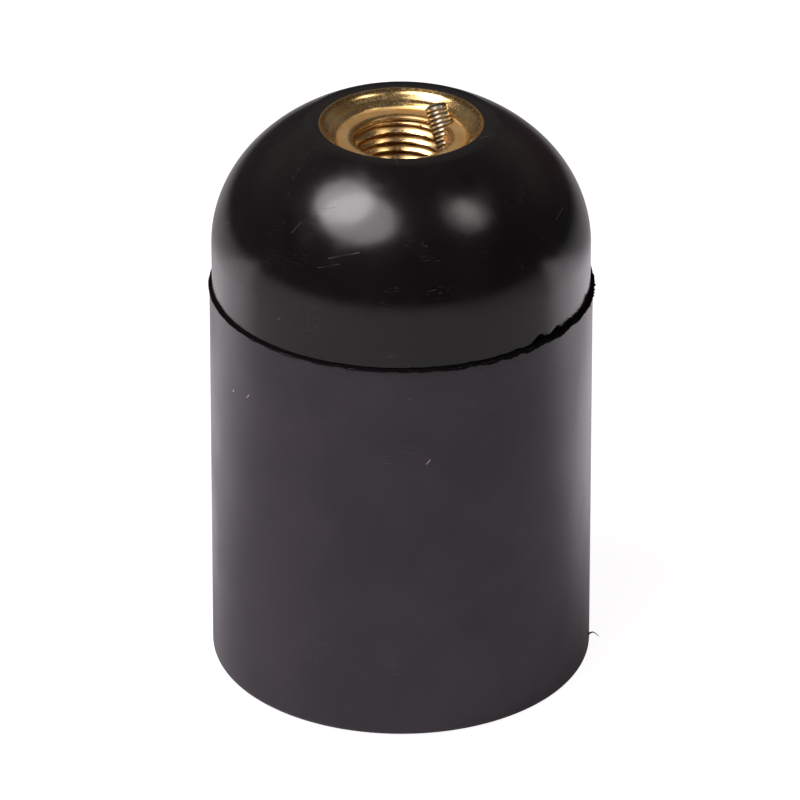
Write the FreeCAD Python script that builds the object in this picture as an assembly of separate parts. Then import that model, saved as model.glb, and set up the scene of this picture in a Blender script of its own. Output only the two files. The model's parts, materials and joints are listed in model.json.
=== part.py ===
"""E27 lamp holder with a smooth moulded skirt and a domed cap.

Frame: the origin is the centre of the skirt's mouth, +Z points up through the cable entry, and all
sizes are in millimetres. The skirt stands on its mouth at z = 0.
"""
import FreeCAD, Part
import math
import os

from FreeCAD import Vector

# ---- skirt ----
SKIRT_R = 19.5
SEAM_Z = 42.2
SKIRT_WALL = 3.1
RIM_ROUND_R = 0.7
LEDGE_Z = 33.5
LEDGE_THICKNESS = 3.5
LEDGE_SLOPE = 4.0
LEDGE_SEAT = 1.0
FLASH_OUT = 0.3
FLASH_DEPTH = 0.35

# ---- coarse moulded thread between skirt and cap ----
SPIGOT_H = 5.8
SPIGOT_LIP = 0.5
SPIGOT_WALL = 1.3
BODY_THREAD_PITCH = 2.5
BODY_THREAD_DEPTH = 0.8
BODY_THREAD_CLEARANCE = 0.2
BODY_THREAD_FADE = 0.9
SPIGOT_HEADROOM = 0.6
THREAD_COLUMNS = 40
THREAD_LEVELS = 11

# ---- domed cap ----
CAP_STEP = 0.25
CAP_EDGE = 0.4
CAP_WALL_H = 4.5
CAP_WALL = 2.85
DOME_H = 13.3
LIP_W = 1.4
CROWN_THICKNESS = 5.0
CAVITY_ROUND_R = 6.0
BOSS_WALL = 2.2
LUG_W = 3.0
LUG_DEPTH = 2.4
LUG_REACH = 1.4
LUG_AZIMUTH = 45.0

# ---- brass entry insert with M10x1 thread ----
INSERT_R = 8.3
INSERT_LENGTH = 9.3
INSERT_FOOT_H = 3.4
INSERT_GROOVE_W = 1.6
INSERT_GROOVE_DEPTH = 0.7
INSERT_SIDE_COUNT = 12
RIM_STEP_R = 7.15
RIM_STEP_DEPTH = 0.96
FLOOR_R = 6.5
FLOOR_DEPTH = 1.5
THREAD_MOUTH_R = 5.35
THREAD_MOUTH_DEPTH = 0.7
ENTRY_R = 4.46
ENTRY_FOOT_EDGE = 0.4

# ---- slanted locking screw ----
LOCK_X = 3.40
LOCK_Y = 4.53
LOCK_LEAN_X = -0.341
LOCK_LEAN_Y = 0.506
LOCK_R = 1.2
LOCK_LENGTH = 6.2
LOCK_SLOT_W = 0.5
LOCK_SLOT_DEPTH = 0.6
LOCK_CLEARANCE = 0.06
LOCK_DRIVE_IN = 0.6

# ---- porcelain contact block ----
BLOCK_H = 11.5
BLOCK_EDGE = 0.6
BLOCK_CLEARANCE = 0.3
POCKET_W = 9.0
POCKET_DEPTH = 5.0
POCKET_END_GAP = 0.6
LUG_CLEARANCE = 0.2
LUG_SEAT_GAP = 0.05
BOSS_MARGIN = 0.2
BOSS_H = 1.2
BOSS_FLAT_GAP = 0.4

# ---- E27 screw shell ----
SHELL_THREAD_R = 13.275
SHELL_THREAD_DEPTH = 1.095
SHELL_PITCH = 3.629
SHELL_SHEET = 0.4
SHELL_CLEARANCE = 0.325
SHELL_MOUTH_Z = 9.5
SHELL_COLLAR_H = 1.6
SHELL_COLLAR_OUT = 0.3
SHELL_FADE = 1.8
SHELL_PLAIN_H = 1.8
SHELL_HOLE_GAP = 0.8
SHELL_TAB_END = 1.6
SHELL_TAB_W = 4.8
SHELL_CORNER = 0.45
SHELL_CORNER_H = 1.1

# ---- fasteners and contacts ----
FIT_CLEARANCE = 0.1
RUNNING_CLEARANCE = 0.04
SHELL_SCREW_SETBACK = 5.2
SHELL_SCREW_R = 1.5
SHELL_SCREW_HEAD_R = 2.3
SHELL_SCREW_HEAD_H = 1.4
NUT_ACROSS_FLATS = 5.5
NUT_H = 2.4
NUT_SIDE_COUNT = 6
PLATE_T = 1.2
PLATE_W = 7.0
PLATE_REACH_IN = 6.4
PLATE_SETBACK = 1.0
TERMINAL_SETBACK = 5.4
TERMINAL_SCREW_R = 1.5
TERMINAL_SCREW_REACH = 3.2
TERMINAL_HEAD_R = 2.2
TERMINAL_HEAD_H = 1.8
WASHER_T = 0.6
WASHER_R = 2.3
SLOT_W = 0.7
SLOT_DEPTH = 0.8
RIVET_R = 0.9
RIVET_HEAD_R = 1.4
RIVET_HEAD_H = 0.6
LIVE_RIVET_SPACING = 4.6
NEUTRAL_RIVET_SPACING = 4.0
LEAF_W = 4.0
LEAF_T = 0.4
LEAF_DROP = 1.3
LEAF_FOOT_L = 1.8
LEAF_KNEE_X = 1.4
LEAF_TIP_X = -2.4
BUTTON_R = 1.7
BUTTON_H = 1.0
BUTTON_SHANK_R = 0.7
BUTTON_UPSET_R = 1.1
BUTTON_UPSET_H = 0.4

# ---- how far a cutting body runs past the face it opens ----
OVERCUT = 1.0

# ---- worked out from the sizes above ----
MOUTH_R = SKIRT_R - SKIRT_WALL
LEDGE_R = SHELL_THREAD_R + SHELL_SHEET + SHELL_CLEARANCE
BLOCK_R = LEDGE_R + LEDGE_SEAT
PLATE_OUT_X = BLOCK_R - PLATE_SETBACK
TERMINAL_SCREW_X = BLOCK_R - TERMINAL_SETBACK
SHELL_SCREW_POS = BLOCK_R - SHELL_SCREW_SETBACK
PLATE_IN_X = TERMINAL_SCREW_X - PLATE_REACH_IN
POCKET_IN_X = PLATE_IN_X - POCKET_END_GAP
LIVE_RIVET_X = TERMINAL_SCREW_X - LIVE_RIVET_SPACING
NEUTRAL_RIVET_X = NEUTRAL_RIVET_SPACING - TERMINAL_SCREW_X
LEAF_FOOT_X = LIVE_RIVET_X - LEAF_FOOT_L
BOSS_R = LIVE_RIVET_X + RIVET_HEAD_R + BOSS_MARGIN
BOSS_FLAT_X = -NEUTRAL_RIVET_X - RIVET_HEAD_R - BOSS_FLAT_GAP
SHELL_HOLE_R = BOSS_R + SHELL_HOLE_GAP
SHELL_TAB_X = -NEUTRAL_RIVET_X - SHELL_TAB_END
BORE_R = BLOCK_R + BLOCK_CLEARANCE
SPIGOT_TOP_Z = SEAM_Z + SPIGOT_H
SPIGOT_LIP_Z = SPIGOT_TOP_Z - SPIGOT_LIP
THREAD_ROOT_R = BORE_R + SPIGOT_WALL
FEMALE_MAJOR_R = THREAD_ROOT_R + BODY_THREAD_DEPTH + BODY_THREAD_CLEARANCE
THREAD_RELIEF_Z = SPIGOT_TOP_Z + SPIGOT_HEADROOM
CAP_R = SKIRT_R - CAP_STEP
CAVITY_R = CAP_R - CAP_WALL
DOME_BASE_Z = SEAM_Z + CAP_WALL_H
TOP_Z = DOME_BASE_Z + DOME_H
LIP_R = INSERT_R + LIP_W
DOME_SEMI_H = DOME_H / math.sqrt(1 - (LIP_R / CAP_R) ** 2)
CAVITY_TOP_Z = TOP_Z - CROWN_THICKNESS
INSERT_FOOT_Z = TOP_Z - INSERT_LENGTH
BLOCK_TOP_Z = LEDGE_Z + BLOCK_H
POCKET_Z = BLOCK_TOP_Z - POCKET_DEPTH
PLATE_TOP_Z = POCKET_Z + PLATE_T
BOSS_Z = LEDGE_Z - BOSS_H
LUG_IN_R = BLOCK_R - LUG_DEPTH
LUG_Z = BLOCK_TOP_Z - LUG_REACH
SHELL_FLANGE_Z = LEDGE_Z - SHELL_SHEET
SHELL_COLLAR_Z = SHELL_MOUTH_Z + SHELL_COLLAR_H
SHELL_COLLAR_R = SHELL_THREAD_R + SHELL_COLLAR_OUT
NUT_Z = BLOCK_TOP_Z - NUT_H
LEAF_Z = BOSS_Z - LEAF_T
LEAF_TIP_Z = LEAF_Z - LEAF_DROP
LOCK_TOP = Vector(LOCK_X, LOCK_Y, TOP_Z)
LOCK_AXIS = Vector(LOCK_LEAN_X, LOCK_LEAN_Y, 1).normalize()
UP = Vector(0, 0, 1)
SIDES = {"live": 1, "neutral": -1}
ENDS = {"rear": 1, "front": -1}


def cylinder(radius, height, base, axis=UP):
    return Part.makeCylinder(radius, height, base, axis)


def slab(low, high):
    """A box between two opposite corners."""
    size = high - low
    return Part.makeBox(size.x, size.y, size.z, low)


def bar_along_x(x0, x1, width, z0, z1):
    """A box centred on the X axis, between two places on it given in either order."""
    low, high = sorted((x0, x1))
    return slab(Vector(low, -width / 2, z0), Vector(high, width / 2, z1))


def prism(corner_r, sides, x, y, z, height):
    """Regular prism that stands on height z round the vertical line through (x, y)."""
    corners = []
    for i in range(sides + 1):
        angle = 2 * math.pi * i / sides
        corners.append(Vector(x + corner_r * math.cos(angle), y + corner_r * math.sin(angle), z))
    return Part.Face(Part.makePolygon(corners)).extrude(UP * height)


# ---- sections and turned faces ----
def outline(*points):
    """Straight edges of an axial section through (radius, z) points."""
    corners = [Vector(r, 0, z) for r, z in points]
    return [Part.makeLine(a, b) for a, b in zip(corners, corners[1:])]


def ellipse_arc(semi_r, semi_h, centre_z, end_r):
    """Dome stretch of an axial section: an ellipse from its widest place up to radius end_r."""
    centre = Vector(0, 0, centre_z)
    curve = Part.Ellipse(Vector(semi_r, 0, centre_z), centre + UP * semi_h, centre)
    return Part.ArcOfEllipse(curve, 0, math.acos(end_r / semi_r)).toShape()


def quarter_round(centre_r, centre_z, radius, start_deg, end_deg):
    """Rounded corner of an axial section; angles are measured from +R towards +Z."""
    def at(degrees):
        angle = math.radians(degrees)
        return Vector(centre_r + radius * math.cos(angle), 0, centre_z + radius * math.sin(angle))
    return Part.Arc(at(start_deg), at((start_deg + end_deg) / 2), at(end_deg)).toShape()


def turned(edges):
    """Faces left by turning a section's edges about the Z axis."""
    return [edge.revolve(Vector(), UP, 360).Faces[0] for edge in edges]


def turned_solid(*points):
    """Solid of revolution of a closed section through (radius, z) points."""
    return Part.Face(Part.Wire(outline(*points, points[0]))).revolve(Vector(), UP, 360)


# ---- threads ----
def fade(z, z0, z1, length):
    """Share of a thread's full height: 0 at its ends, 1 over the middle, with smooth run-outs."""
    share = min(max(min(z - z0, z1 - z) / length, 0.0), 1.0)
    return share * share * (3 - 2 * share)


def threaded_face(radius_at, z0, z1, pitch):
    """Right-hand helical wave r = radius_at(phase, z) round the Z axis, as one smooth face."""
    around = THREAD_COLUMNS
    levels = math.ceil((z1 - z0) / pitch * THREAD_LEVELS)
    grid = []
    for i in range(around + 1):
        angle = 2 * math.pi * (i % around) / around
        column = []
        for j in range(levels + 1):
            z = z0 + (z1 - z0) * j / levels
            radius = radius_at(2 * math.pi * z / pitch - angle, z)
            column.append(Vector(radius * math.cos(angle), radius * math.sin(angle), z))
        grid.append(column)
    surface = Part.BSplineSurface()
    surface.interpolate(grid)
    return surface.toShape()


def end_edge(face, z):
    """The closed edge of a threaded face that lies at height z."""
    return min((e for e in face.Edges if e.isClosed()), key=lambda e: abs(e.CenterOfMass.z - z))


def circle(radius, z):
    return Part.makeCircle(radius, Vector(0, 0, z), UP)


def ring_face(outer, inner):
    """Flat ring between two closed edges at one height."""
    return Part.makeFace([Part.Wire([outer]), Part.Wire([inner])], "Part::FaceMakerBullseye")


def sewn(faces):
    """Closed solid from faces that share their edges."""
    skin = Part.makeCompound(faces)
    skin.sewShape(1e-4)
    solid = Part.makeSolid(skin.Shells[0])
    if solid.Volume < 0:
        solid.reverse()
    return solid


# ---- skirt and cap ----
def male_radius(phase, z):
    height = BODY_THREAD_DEPTH * fade(z, SEAM_Z, SPIGOT_LIP_Z, BODY_THREAD_FADE)
    return THREAD_ROOT_R + height * (1 + math.cos(phase)) / 2


def female_radius(phase, z):
    height = BODY_THREAD_DEPTH * fade(z, SEAM_Z, THREAD_RELIEF_Z, BODY_THREAD_FADE)
    return FEMALE_MAJOR_R - height * (1 - math.cos(phase)) / 2


def make_skirt():
    thread = threaded_face(male_radius, SEAM_Z, SPIGOT_LIP_Z, BODY_THREAD_PITCH)
    slope_z = LEDGE_Z - LEDGE_THICKNESS
    lip_r = THREAD_ROOT_R - SPIGOT_LIP / 2
    outside = outline((SKIRT_R, RIM_ROUND_R), (SKIRT_R, SEAM_Z - FLASH_DEPTH), (SKIRT_R + FLASH_OUT, SEAM_Z))
    inside = outline(
        (MOUTH_R, RIM_ROUND_R),
        (MOUTH_R, slope_z - LEDGE_SLOPE),
        (LEDGE_R, slope_z),
        (LEDGE_R, LEDGE_Z),
        (BORE_R, LEDGE_Z),
        (BORE_R, SPIGOT_TOP_Z),
        (lip_r - SPIGOT_LIP, SPIGOT_TOP_Z),
        (lip_r, SPIGOT_LIP_Z),
    )
    rim = [
        quarter_round(SKIRT_R - RIM_ROUND_R, RIM_ROUND_R, RIM_ROUND_R, -90, 0),
        *outline((MOUTH_R + RIM_ROUND_R, 0), (SKIRT_R - RIM_ROUND_R, 0)),
        quarter_round(MOUTH_R + RIM_ROUND_R, RIM_ROUND_R, RIM_ROUND_R, 180, 270),
    ]
    seam_ring = ring_face(circle(SKIRT_R + FLASH_OUT, SEAM_Z), end_edge(thread, SEAM_Z))
    lip_ring = ring_face(end_edge(thread, SPIGOT_LIP_Z), circle(lip_r, SPIGOT_LIP_Z))
    return sewn([thread, seam_ring, lip_ring, *turned(outside + inside + rim)])


def cap_shell():
    """Domed cap with its female thread and hollow, still without the entry insert's seat."""
    thread = threaded_face(female_radius, SEAM_Z, THREAD_RELIEF_Z, BODY_THREAD_PITCH)
    ceiling_r = CAVITY_R - CAVITY_ROUND_R
    round_z = CAVITY_TOP_Z - CAVITY_ROUND_R
    section = outline((CAP_R - CAP_EDGE, SEAM_Z), (CAP_R, SEAM_Z + CAP_EDGE), (CAP_R, DOME_BASE_Z))
    section.append(ellipse_arc(CAP_R, DOME_SEMI_H, DOME_BASE_Z, LIP_R))
    section += outline((LIP_R, TOP_Z), (0, TOP_Z))
    section += outline((CAVITY_R, THREAD_RELIEF_Z), (CAVITY_R, round_z))
    section.append(quarter_round(ceiling_r, round_z, CAVITY_ROUND_R, 0, 90))
    section += outline((ceiling_r, CAVITY_TOP_Z), (0, CAVITY_TOP_Z))
    seam_ring = ring_face(circle(CAP_R - CAP_EDGE, SEAM_Z), end_edge(thread, SEAM_Z))
    relief_ring = ring_face(end_edge(thread, THREAD_RELIEF_Z), circle(CAVITY_R, THREAD_RELIEF_Z))
    return sewn([thread, seam_ring, relief_ring, *turned(section)])


def across_rim(width, in_r, out_r, z0, z1):
    """Two opposite blocks between two radii, at the azimuth of the driving lugs."""
    height = z1 - z0
    ring = cylinder(out_r, height, Vector(0, 0, z0)).cut(cylinder(in_r, height, Vector(0, 0, z0)))
    bar = bar_along_x(-out_r, out_r, width, z0, z1)
    bar.rotate(Vector(), UP, LUG_AZIMUTH)
    return ring.common(bar).Solids


def driving_lugs():
    """Two fingers that hang from the cap's ceiling and turn the contact block with the cap."""
    out_r = BLOCK_R - LUG_CLEARANCE
    in_r = LUG_IN_R + LUG_CLEARANCE
    return across_rim(LUG_W, in_r, out_r, LUG_Z + LUG_SEAT_GAP, CAVITY_TOP_Z + CROWN_THICKNESS / 4)


def insert_envelope():
    """Outside of the entry insert: round rim, anchoring groove and a many-sided foot."""
    rim_h = INSERT_LENGTH - INSERT_FOOT_H - INSERT_GROOVE_W
    rim = cylinder(INSERT_R, rim_h, Vector(0, 0, TOP_Z - rim_h))
    groove = cylinder(INSERT_R - INSERT_GROOVE_DEPTH, INSERT_LENGTH, Vector(0, 0, INSERT_FOOT_Z))
    foot = prism(INSERT_R, INSERT_SIDE_COUNT, 0, 0, INSERT_FOOT_Z, INSERT_FOOT_H)
    return rim.fuse([groove, foot]).removeSplitter()


def make_dome_cap():
    boss_h = CAVITY_TOP_Z - INSERT_FOOT_Z + OVERCUT
    boss = cylinder(INSERT_R + BOSS_WALL, boss_h, Vector(0, 0, INSERT_FOOT_Z))
    return cap_shell().fuse([boss, *driving_lugs()]).cut(insert_envelope())


def lock_hole():
    """Tapped hole of the locking screw, a little deeper than the screw can be driven."""
    depth = LOCK_LENGTH + LOCK_DRIVE_IN + LOCK_SLOT_W
    return cylinder(LOCK_R + LOCK_CLEARANCE, depth + LOCK_LENGTH, LOCK_TOP - LOCK_AXIS * depth, LOCK_AXIS)


def make_entry_insert():
    floor_z = TOP_Z - FLOOR_DEPTH
    foot_r = ENTRY_R + ENTRY_FOOT_EDGE
    recess = turned_solid(
        (0, TOP_Z + OVERCUT),
        (INSERT_R + OVERCUT, TOP_Z + OVERCUT),
        (INSERT_R, TOP_Z),
        (RIM_STEP_R, TOP_Z - RIM_STEP_DEPTH),
        (FLOOR_R, floor_z),
        (THREAD_MOUTH_R, floor_z),
        (ENTRY_R, floor_z - THREAD_MOUTH_DEPTH),
        (ENTRY_R, INSERT_FOOT_Z + ENTRY_FOOT_EDGE),
        (foot_r, INSERT_FOOT_Z),
        (foot_r, INSERT_FOOT_Z - OVERCUT),
        (0, INSERT_FOOT_Z - OVERCUT),
    )
    return insert_envelope().cut(recess).cut(lock_hole())


def make_locking_screw():
    screw = cylinder(LOCK_R, LOCK_LENGTH, LOCK_TOP - LOCK_AXIS * LOCK_LENGTH, LOCK_AXIS)
    slot = bar_along_x(-2 * LOCK_R, 2 * LOCK_R, LOCK_SLOT_W, -LOCK_SLOT_DEPTH, LOCK_SLOT_DEPTH)
    slot.Placement = FreeCAD.Placement(LOCK_TOP, FreeCAD.Rotation(UP, LOCK_AXIS))
    return screw.cut(slot)


# ---- contact block ----
def hexagon_corner_r(across_flats):
    return across_flats / 2 / math.cos(math.pi / NUT_SIDE_COUNT)


def terminal_pocket(side):
    """Open pocket on one side of the block, with the blind hole below its terminal screw."""
    out_x, top_z = BLOCK_R + OVERCUT, BLOCK_TOP_Z + OVERCUT
    pocket = bar_along_x(side * POCKET_IN_X, side * out_x, POCKET_W, POCKET_Z, top_z)
    depth = TERMINAL_SCREW_REACH + FIT_CLEARANCE
    base = Vector(side * TERMINAL_SCREW_X, 0, POCKET_Z - depth)
    return [pocket, cylinder(TERMINAL_SCREW_R + FIT_CLEARANCE, depth, base)]


def shell_screw_hole(end):
    """Through hole for a shell screw, with the hexagonal pocket of its nut at the top."""
    y = end * SHELL_SCREW_POS
    corner_r = hexagon_corner_r(NUT_ACROSS_FLATS + 2 * FIT_CLEARANCE)
    hole_h = BLOCK_H + 2 * OVERCUT
    hole = cylinder(SHELL_SCREW_R + FIT_CLEARANCE, hole_h, Vector(0, y, LEDGE_Z - OVERCUT))
    return [hole, prism(corner_r, NUT_SIDE_COUNT, 0, y, NUT_Z, NUT_H + OVERCUT)]


def make_contact_block():
    block = turned_solid(
        (0, BOSS_Z),
        (BOSS_R, BOSS_Z),
        (BOSS_R, LEDGE_Z),
        (BLOCK_R, LEDGE_Z),
        (BLOCK_R, BLOCK_TOP_Z - BLOCK_EDGE),
        (BLOCK_R - BLOCK_EDGE, BLOCK_TOP_Z),
        (0, BLOCK_TOP_Z),
    )
    cuts = [bar_along_x(-BOSS_FLAT_X, -2 * BOSS_R, 2 * BOSS_R, BOSS_Z - OVERCUT, LEDGE_Z)]
    for side in SIDES.values():
        cuts += terminal_pocket(side)
    for end in ENDS.values():
        cuts += shell_screw_hole(end)
    for x in (LIVE_RIVET_X, NEUTRAL_RIVET_X):
        cuts.append(cylinder(RIVET_R, BLOCK_H, Vector(x, 0, BOSS_Z - OVERCUT)))
    notch_w = LUG_W + 2 * LUG_CLEARANCE
    cuts += across_rim(notch_w, LUG_IN_R, BLOCK_R + OVERCUT, LUG_Z, BLOCK_TOP_Z + OVERCUT)
    return block.cut(cuts)


# ---- E27 screw shell ----
def shell_radius(phase, z, lift):
    """Radius of the rolled sheet: lift is 0 on its inner side and the sheet's thickness outside."""
    low, high = SHELL_COLLAR_Z + SHELL_SHEET, SHELL_FLANGE_Z - SHELL_PLAIN_H
    height = SHELL_THREAD_DEPTH * fade(z, low, high, SHELL_FADE)
    corner = max(0.0, (z - lift - SHELL_FLANGE_Z) / SHELL_CORNER_H + 1)
    return SHELL_THREAD_R + lift - height * (1 - math.cos(phase)) / 2 - SHELL_CORNER * corner * corner


def rolled_side(lift):
    """Inner or outer side of the shell: mouth collar, step, rolled thread and flange."""
    step_z, end_z = SHELL_COLLAR_Z + lift, SHELL_FLANGE_Z + lift
    collar_r = SHELL_COLLAR_R + lift
    thread = threaded_face(lambda phase, z: shell_radius(phase, z, lift), step_z, end_z, SHELL_PITCH)
    step = ring_face(circle(collar_r, step_z), end_edge(thread, step_z))
    flange = ring_face(end_edge(thread, end_z), circle(BUTTON_R, end_z))
    return [thread, step, flange, *turned(outline((collar_r, SHELL_MOUTH_Z), (collar_r, step_z)))]


def make_screw_shell():
    edges = outline((SHELL_COLLAR_R, SHELL_MOUTH_Z), (SHELL_COLLAR_R + SHELL_SHEET, SHELL_MOUTH_Z))
    edges += outline((BUTTON_R, SHELL_FLANGE_Z), (BUTTON_R, LEDGE_Z))
    shell = sewn([*rolled_side(0), *rolled_side(SHELL_SHEET), *turned(edges)])
    z0, height = SHELL_FLANGE_Z - OVERCUT, SHELL_SHEET + 2 * OVERCUT
    window = cylinder(SHELL_HOLE_R, height, Vector(0, 0, z0))
    tab = bar_along_x(-SHELL_TAB_X, -2 * SHELL_HOLE_R, SHELL_TAB_W, z0, z0 + height)
    holes = [window.cut(tab), cylinder(RIVET_R, height, Vector(NEUTRAL_RIVET_X, 0, z0))]
    for end in ENDS.values():
        holes.append(cylinder(SHELL_SCREW_R + FIT_CLEARANCE, height, Vector(0, end * SHELL_SCREW_POS, z0)))
    return shell.cut(holes)


# ---- fasteners and contacts ----
def screw(head_r, head_h, shank_r, length, x, y, seat_z, out):
    """Slotted cheese-head screw whose head sits on seat_z; out is +1 with its head up, -1 down."""
    seat = Vector(x, y, seat_z)
    head = cylinder(head_r, head_h, seat, UP * out)
    shank = cylinder(shank_r, length, seat, UP * -out)
    slot = bar_along_x(-head_r - OVERCUT, head_r + OVERCUT, SLOT_W, -SLOT_DEPTH, SLOT_DEPTH)
    slot.translate(seat + UP * out * head_h)
    return head.fuse(shank).cut(slot).removeSplitter()


def make_shell_screw(end):
    length = SHELL_SHEET + BLOCK_H
    return screw(SHELL_SCREW_HEAD_R, SHELL_SCREW_HEAD_H, SHELL_SCREW_R, length, 0,
                 end * SHELL_SCREW_POS, SHELL_FLANGE_Z, -1)


def make_shell_nut(end):
    y = end * SHELL_SCREW_POS
    body = prism(hexagon_corner_r(NUT_ACROSS_FLATS), NUT_SIDE_COUNT, 0, y, NUT_Z, NUT_H)
    return body.cut(cylinder(SHELL_SCREW_R, NUT_H, Vector(0, y, NUT_Z)))


def terminal_x(side):
    return side * TERMINAL_SCREW_X


def make_terminal_plate(side, rivet_x):
    """Brass plate on a pocket's floor, tapped for its terminal screw and drilled for its rivet."""
    plate = bar_along_x(side * PLATE_IN_X, side * PLATE_OUT_X, PLATE_W, POCKET_Z, PLATE_TOP_Z)
    tapped = cylinder(TERMINAL_SCREW_R + RUNNING_CLEARANCE, PLATE_T, Vector(terminal_x(side), 0, POCKET_Z))
    return plate.cut([tapped, cylinder(RIVET_R, PLATE_T, Vector(rivet_x, 0, POCKET_Z))])


def make_clamp_washer(side):
    base = Vector(terminal_x(side), 0, PLATE_TOP_Z)
    return cylinder(WASHER_R, WASHER_T, base).cut(cylinder(TERMINAL_SCREW_R + FIT_CLEARANCE, WASHER_T, base))


def make_terminal_screw(side):
    length = WASHER_T + PLATE_T + TERMINAL_SCREW_REACH
    return screw(TERMINAL_HEAD_R, TERMINAL_HEAD_H, TERMINAL_SCREW_R, length, terminal_x(side), 0,
                 PLATE_TOP_Z + WASHER_T, 1)


def make_rivet(x, bottom_z):
    """Rivet that clamps what lies between bottom_z and the top of a terminal plate."""
    shank = cylinder(RIVET_R, PLATE_TOP_Z - bottom_z, Vector(x, 0, bottom_z))
    upset = cylinder(RIVET_HEAD_R, RIVET_HEAD_H, Vector(x, 0, PLATE_TOP_Z))
    head = cylinder(RIVET_HEAD_R, RIVET_HEAD_H, Vector(x, 0, bottom_z - RIVET_HEAD_H))
    return shank.fuse([upset, head]).removeSplitter()


def make_contact_leaf():
    """Sprung strip: flat foot under the boss, a slope down, and a flat tip for the button."""
    foot_end_x = LIVE_RIVET_X + RIVET_HEAD_R
    top = [(foot_end_x, BOSS_Z), (LEAF_FOOT_X, BOSS_Z), (LEAF_KNEE_X, BOSS_Z - LEAF_DROP)]
    top.append((LEAF_TIP_X, BOSS_Z - LEAF_DROP))
    path = top + [(x, z - LEAF_T) for x, z in reversed(top)]
    corners = [Vector(x, -LEAF_W / 2, z) for x, z in path]
    strip = Part.Face(Part.makePolygon(corners + corners[:1])).extrude(Vector(0, LEAF_W, 0))
    rivet_hole = cylinder(RIVET_R, LEAF_T, Vector(LIVE_RIVET_X, 0, LEAF_Z))
    button_hole = cylinder(BUTTON_SHANK_R + RUNNING_CLEARANCE, LEAF_T, Vector(0, 0, LEAF_TIP_Z))
    return strip.cut([rivet_hole, button_hole])


def make_contact_button():
    """Riveted contact: domed head below the leaf, shank through it and an upset end on top."""
    dome_r = (BUTTON_R ** 2 + BUTTON_H ** 2) / (2 * BUTTON_H)
    ball = Part.makeSphere(dome_r, Vector(0, 0, LEAF_TIP_Z - BUTTON_H + dome_r))
    head = ball.common(cylinder(2 * BUTTON_R, BUTTON_H, Vector(0, 0, LEAF_TIP_Z - BUTTON_H)))
    shank = cylinder(BUTTON_SHANK_R, LEAF_T, Vector(0, 0, LEAF_TIP_Z))
    upset = cylinder(BUTTON_UPSET_R, BUTTON_UPSET_H, Vector(0, 0, LEAF_TIP_Z + LEAF_T))
    return head.fuse([shank, upset]).removeSplitter()


def make_parts():
    parts = {
        "skirt": make_skirt(),
        "dome_cap": make_dome_cap(),
        "entry_insert": make_entry_insert(),
        "locking_screw": make_locking_screw(),
        "contact_block": make_contact_block(),
        "screw_shell": make_screw_shell(),
        "contact_leaf": make_contact_leaf(),
        "contact_button": make_contact_button(),
        "live_rivet": make_rivet(LIVE_RIVET_X, LEAF_Z),
        "neutral_rivet": make_rivet(NEUTRAL_RIVET_X, SHELL_FLANGE_Z),
        "live_terminal_plate": make_terminal_plate(SIDES["live"], LIVE_RIVET_X),
        "neutral_terminal_plate": make_terminal_plate(SIDES["neutral"], NEUTRAL_RIVET_X),
    }
    for name, side in SIDES.items():
        parts[f"{name}_clamp_washer"] = make_clamp_washer(side)
        parts[f"{name}_terminal_screw"] = make_terminal_screw(side)
    for name, end in ENDS.items():
        parts[f"{name}_shell_screw"] = make_shell_screw(end)
        parts[f"{name}_shell_nut"] = make_shell_nut(end)
    return parts


def main():
    os.makedirs("parts", exist_ok=True)
    for name, shape in make_parts().items():
        shape.exportStep(f"parts/{name}.step")
        print(name, shape.ShapeType, len(shape.Solids), "valid" if shape.isValid() else "INVALID",
              round(shape.Volume, 2))


main()
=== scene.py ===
"""Finish, fine threads, raw seam edge and lighting of the moulded E27 lamp holder. Lengths are in metres."""
import json
import math
import bpy
import numpy as np
from mathutils import Matrix, Vector, noise


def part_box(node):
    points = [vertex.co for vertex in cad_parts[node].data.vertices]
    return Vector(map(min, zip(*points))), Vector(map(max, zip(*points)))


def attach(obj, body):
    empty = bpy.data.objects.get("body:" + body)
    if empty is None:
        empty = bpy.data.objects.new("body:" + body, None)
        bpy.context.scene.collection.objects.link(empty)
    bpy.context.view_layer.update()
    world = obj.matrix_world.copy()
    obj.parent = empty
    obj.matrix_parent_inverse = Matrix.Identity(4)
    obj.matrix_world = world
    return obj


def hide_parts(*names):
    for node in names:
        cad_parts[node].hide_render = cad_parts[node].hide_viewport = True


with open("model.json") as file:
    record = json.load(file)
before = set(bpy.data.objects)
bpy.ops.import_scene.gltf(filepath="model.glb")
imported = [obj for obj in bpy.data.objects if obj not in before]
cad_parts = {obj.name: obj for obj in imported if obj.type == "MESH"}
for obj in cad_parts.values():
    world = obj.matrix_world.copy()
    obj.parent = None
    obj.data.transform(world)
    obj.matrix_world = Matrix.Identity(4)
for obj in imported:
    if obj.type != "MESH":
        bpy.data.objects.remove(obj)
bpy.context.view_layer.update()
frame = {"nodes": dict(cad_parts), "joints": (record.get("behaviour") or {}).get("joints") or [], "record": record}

MM = 0.001
AROUND = 256  # points in a ring, unless a piece asks for more or fewer


def upper(node):
    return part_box(node)[1]


def lower(node):
    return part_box(node)[0]


# ---- sizes read from the frame ----
SEAM_Z = lower("dome_cap").z
TOP_Z = upper("dome_cap").z
SPIGOT_TOP_Z = upper("skirt").z
CAP_R = upper("dome_cap").x
FLASH_R = upper("skirt").x
INSERT_R = upper("entry_insert").x
INSERT_FOOT_Z = lower("entry_insert").z
LEDGE_Z = upper("screw_shell").z
BLOCK_TOP_Z = upper("contact_block").z
BLOCK_R = upper("contact_block").x

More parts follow.
